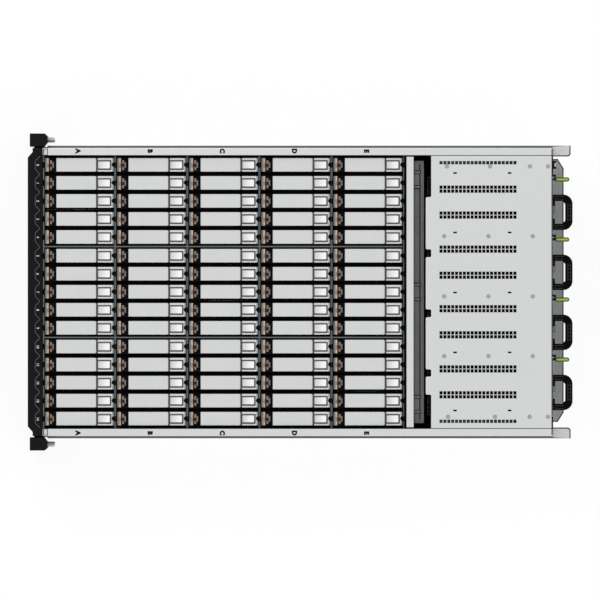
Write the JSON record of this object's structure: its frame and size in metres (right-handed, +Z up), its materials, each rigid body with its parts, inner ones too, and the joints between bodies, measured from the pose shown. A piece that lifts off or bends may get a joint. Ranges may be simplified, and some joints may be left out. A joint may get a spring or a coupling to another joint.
{
  "type": "disk shelf enclosure",
  "caption": "Rack disk enclosure with upright disk modules loaded from above in columns, a rear cover, and plug-in power, fan and expansion modules at the back.",
  "frame": {"origin": "centre of the bounding box's underside, on the surface that the enclosure stands on", "axes": "+X to the right seen from the front, +Y from the front bezel to the rear handles, +Z up"},
  "size_m": [0.4826, 0.8292, 0.175],
  "materials": {
    "galvanised": "galvanised sheet, matt",
    "dark_sheet": "grey coated sheet",
    "black_plastic": "moulded, satin",
    "black_casting": "casting, painted black",
    "steel": "bright",
    "board": "solder mask",
    "disk_casting": "cast and machined",
    "light_plastic": "light grey moulding",
    "white_plastic": "near white moulding",
    "green_plastic": "yellow-green moulding"
  },
  "bodies": {
    "chassis": {"base_tray": "galvanised", "slide_members": "galvanised", "front_panel": "galvanised", "front_bezel": "black_plastic", "left_ear": "black_casting", "right_ear": "black_casting", "ear_screws": "steel", "column_dividers": "dark_sheet", "row_dividers": "dark_sheet", "disk_backplanes": "board", "cross_beam": "galvanised", "midplane_frame": "dark_sheet", "midplane_board": "board", "rear_cover": "galvanised", "bay_shelves": "galvanised", "bay_walls": "galvanised", "rear_fillers": "galvanised", "disks": "disk_casting", "disk_carriers": "light_plastic", "carrier_handles": "light_plastic", "carrier_latches": "white_plastic"},
    "thumbscrew": {"rear_thumbscrew": "steel"},
    "module_a2": {"disk_a2": "disk_casting", "disk_carrier_a2": "light_plastic"},
    "handle_a2": {"carrier_handle_a2": "light_plastic"},
    "catch_a2": {"carrier_latch_a2": "white_plastic"},
    "module_c7": {"disk_c7": "disk_casting", "disk_carrier_c7": "light_plastic"},
    "handle_c7": {"carrier_handle_c7": "light_plastic"},
    "catch_c7": {"carrier_latch_c7": "white_plastic"},
    "module_e12": {"disk_e12": "disk_casting", "disk_carrier_e12": "light_plastic"},
    "handle_e12": {"carrier_handle_e12": "light_plastic"},
    "catch_e12": {"carrier_latch_e12": "white_plastic"},
    "psu_1": {"psu_1_case": "galvanised", "psu_1_handle": "black_plastic"},
    "psu_1_release": {"psu_1_latch": "green_plastic"},
    "fan_1": {"fan_1_housing": "black_plastic"},
    "fan_1_blades": {"fan_1_rotor": "black_plastic"},
    "psu_2": {"psu_2_case": "galvanised", "psu_2_handle": "black_plastic"},
    "psu_2_release": {"psu_2_latch": "green_plastic"},
    "fan_2": {"fan_2_housing": "black_plastic"},
    "fan_2_blades": {"fan_2_rotor": "black_plastic"},
    "psu_3": {"psu_3_case": "galvanised", "psu_3_handle": "black_plastic"},
    "psu_3_release": {"psu_3_latch": "green_plastic"},
    "fan_3": {"fan_3_housing": "black_plastic"},
    "fan_3_blades": {"fan_3_rotor": "black_plastic"},
    "psu_4": {"psu_4_case": "galvanised", "psu_4_handle": "black_plastic"},
    "psu_4_release": {"psu_4_latch": "green_plastic"},
    "fan_4": {"fan_4_housing": "black_plastic"},
    "fan_4_blades": {"fan_4_rotor": "black_plastic"},
    "expander_a": {"expander_a_tray": "galvanised"},
    "expander_a_left": {"expander_a_lever_left": "green_plastic"},
    "expander_a_right": {"expander_a_lever_right": "green_plastic"},
    "expander_b": {"expander_b_tray": "galvanised"},
    "expander_b_left": {"expander_b_lever_left": "green_plastic"},
    "expander_b_right": {"expander_b_lever_right": "green_plastic"}
  },
  "joints": [
    {"name": "thumbscrew_turn", "type": "hinge", "parent": "chassis", "child": "thumbscrew", "pos_m": [-0.19361, 0.38875, 0.152], "axis": [0, 1, 0], "continuous": true},
    {"name": "module_a2_lift", "type": "slide", "parent": "chassis", "child": "module_a2", "axis": [0, 0, 1], "range_m": [0, 0.165]},
    {"name": "handle_a2_swing", "type": "hinge", "parent": "module_a2", "child": "handle_a2", "pos_m": [-0.1383, -0.37045, 0.1691], "axis": [1, 0, 0], "range_deg": [0, 75]},
    {"name": "catch_a2_slide", "type": "slide", "parent": "module_a2", "child": "catch_a2", "axis": [0, 1, 0], "range_m": [0, 0.0025], "stiffness_N_per_m": 300},
    {"name": "module_c7_lift", "type": "slide", "parent": "chassis", "child": "module_c7", "axis": [0, 0, 1], "range_m": [0, 0.165]},
    {"name": "handle_c7_swing", "type": "hinge", "parent": "module_c7", "child": "handle_c7", "pos_m": [0, -0.15085, 0.1691], "axis": [1, 0, 0], "range_deg": [0, 75]},
    {"name": "catch_c7_slide", "type": "slide", "parent": "module_c7", "child": "catch_c7", "axis": [0, 1, 0], "range_m": [0, 0.0025], "stiffness_N_per_m": 300},
    {"name": "module_e12_lift", "type": "slide", "parent": "chassis", "child": "module_e12", "axis": [0, 0, 1], "range_m": [0, 0.165]},
    {"name": "handle_e12_swing", "type": "hinge", "parent": "module_e12", "child": "handle_e12", "pos_m": [0.1383, 0.06875, 0.1691], "axis": [1, 0, 0], "range_deg": [0, 75]},
    {"name": "catch_e12_slide", "type": "slide", "parent": "module_e12", "child": "catch_e12", "axis": [0, 1, 0], "range_m": [0, 0.0025], "stiffness_N_per_m": 300},
    {"name": "psu_1_slide", "type": "slide", "parent": "chassis", "child": "psu_1", "axis": [0, 1, 0], "range_m": [0, 0.195]},
    {"name": "psu_1_release_swing", "type": "hinge", "parent": "psu_1", "child": "psu_1_release", "pos_m": [-0.1713, 0.37635, 0.152], "axis": [0, 0, -1], "range_deg": [0, 8], "stiffness_Nm_per_rad": 0.8},
    {"name": "fan_1_slide", "type": "slide", "parent": "chassis", "child": "fan_1", "axis": [0, 1, 0], "range_m": [0, 0.065]},
    {"name": "fan_1_spin", "type": "hinge", "parent": "fan_1", "child": "fan_1_blades", "pos_m": [-0.1307, 0.36435, 0.09015], "axis": [0, 1, 0], "continuous": true},
    {"name": "psu_2_slide", "type": "slide", "parent": "chassis", "child": "psu_2", "axis": [0, 1, 0], "range_m": [0, 0.195]},
    {"name": "psu_2_release_swing", "type": "hinge", "parent": "psu_2", "child": "psu_2_release", "pos_m": [-0.0799, 0.37635, 0.152], "axis": [0, 0, -1], "range_deg": [0, 8], "stiffness_Nm_per_rad": 0.8},
    {"name": "fan_2_slide", "type": "slide", "parent": "chassis", "child": "fan_2", "axis": [0, 1, 0], "range_m": [0, 0.065]},
    {"name": "fan_2_spin", "type": "hinge", "parent": "fan_2", "child": "fan_2_blades", "pos_m": [-0.0393, 0.36435, 0.09015], "axis": [0, 1, 0], "continuous": true},
    {"name": "psu_3_slide", "type": "slide", "parent": "chassis", "child": "psu_3", "axis": [0, 1, 0], "range_m": [0, 0.195]},
    {"name": "psu_3_release_swing", "type": "hinge", "parent": "psu_3", "child": "psu_3_release", "pos_m": [0.0115, 0.37635, 0.152], "axis": [0, 0, -1], "range_deg": [0, 8], "stiffness_Nm_per_rad": 0.8},
    {"name": "fan_3_slide", "type": "slide", "parent": "chassis", "child": "fan_3", "axis": [0, 1, 0], "range_m": [0, 0.065]},
    {"name": "fan_3_spin", "type": "hinge", "parent": "fan_3", "child": "fan_3_blades", "pos_m": [0.0521, 0.36435, 0.09015], "axis": [0, 1, 0], "continuous": true},
    {"name": "psu_4_slide", "type": "slide", "parent": "chassis", "child": "psu_4", "axis": [0, 1, 0], "range_m": [0, 0.195]},
    {"name": "psu_4_release_swing", "type": "hinge", "parent": "psu_4", "child": "psu_4_release", "pos_m": [0.1029, 0.37635, 0.152], "axis": [0, 0, -1], "range_deg": [0, 8], "stiffness_Nm_per_rad": 0.8},
    {"name": "fan_4_slide", "type": "slide", "parent": "chassis", "child": "fan_4", "axis": [0, 1, 0], "range_m": [0, 0.065]},
    {"name": "fan_4_spin", "type": "hinge", "parent": "fan_4", "child": "fan_4_blades", "pos_m": [0.1435, 0.36435, 0.09015], "axis": [0, 1, 0], "continuous": true},
    {"name": "expander_a_slide", "type": "slide", "parent": "chassis", "child": "expander_a", "axis": [0, 1, 0], "range_m": [0, 0.195]},
    {"name": "expander_a_left_swing", "type": "hinge", "parent": "expander_a", "child": "expander_a_left", "pos_m": [-0.1704, 0.38665, 0.03127], "axis": [0, 0, 1], "range_deg": [0, 70]},
    {"name": "expander_a_right_swing", "type": "hinge", "parent": "expander_a", "child": "expander_a_right", "pos_m": [-0.0007, 0.38665, 0.03127], "axis": [0, 0, -1], "range_deg": [0, 70]},
    {"name": "expander_b_slide", "type": "slide", "parent": "chassis", "child": "expander_b", "axis": [0, 1, 0], "range_m": [0, 0.195]},
    {"name": "expander_b_left_swing", "type": "hinge", "parent": "expander_b", "child": "expander_b_left", "pos_m": [0.0135, 0.38665, 0.03127], "axis": [0, 0, 1], "range_deg": [0, 70]},
    {"name": "expander_b_right_swing", "type": "hinge", "parent": "expander_b", "child": "expander_b_right", "pos_m": [0.1832, 0.38665, 0.03127], "axis": [0, 0, -1], "range_deg": [0, 70]}
  ]
}
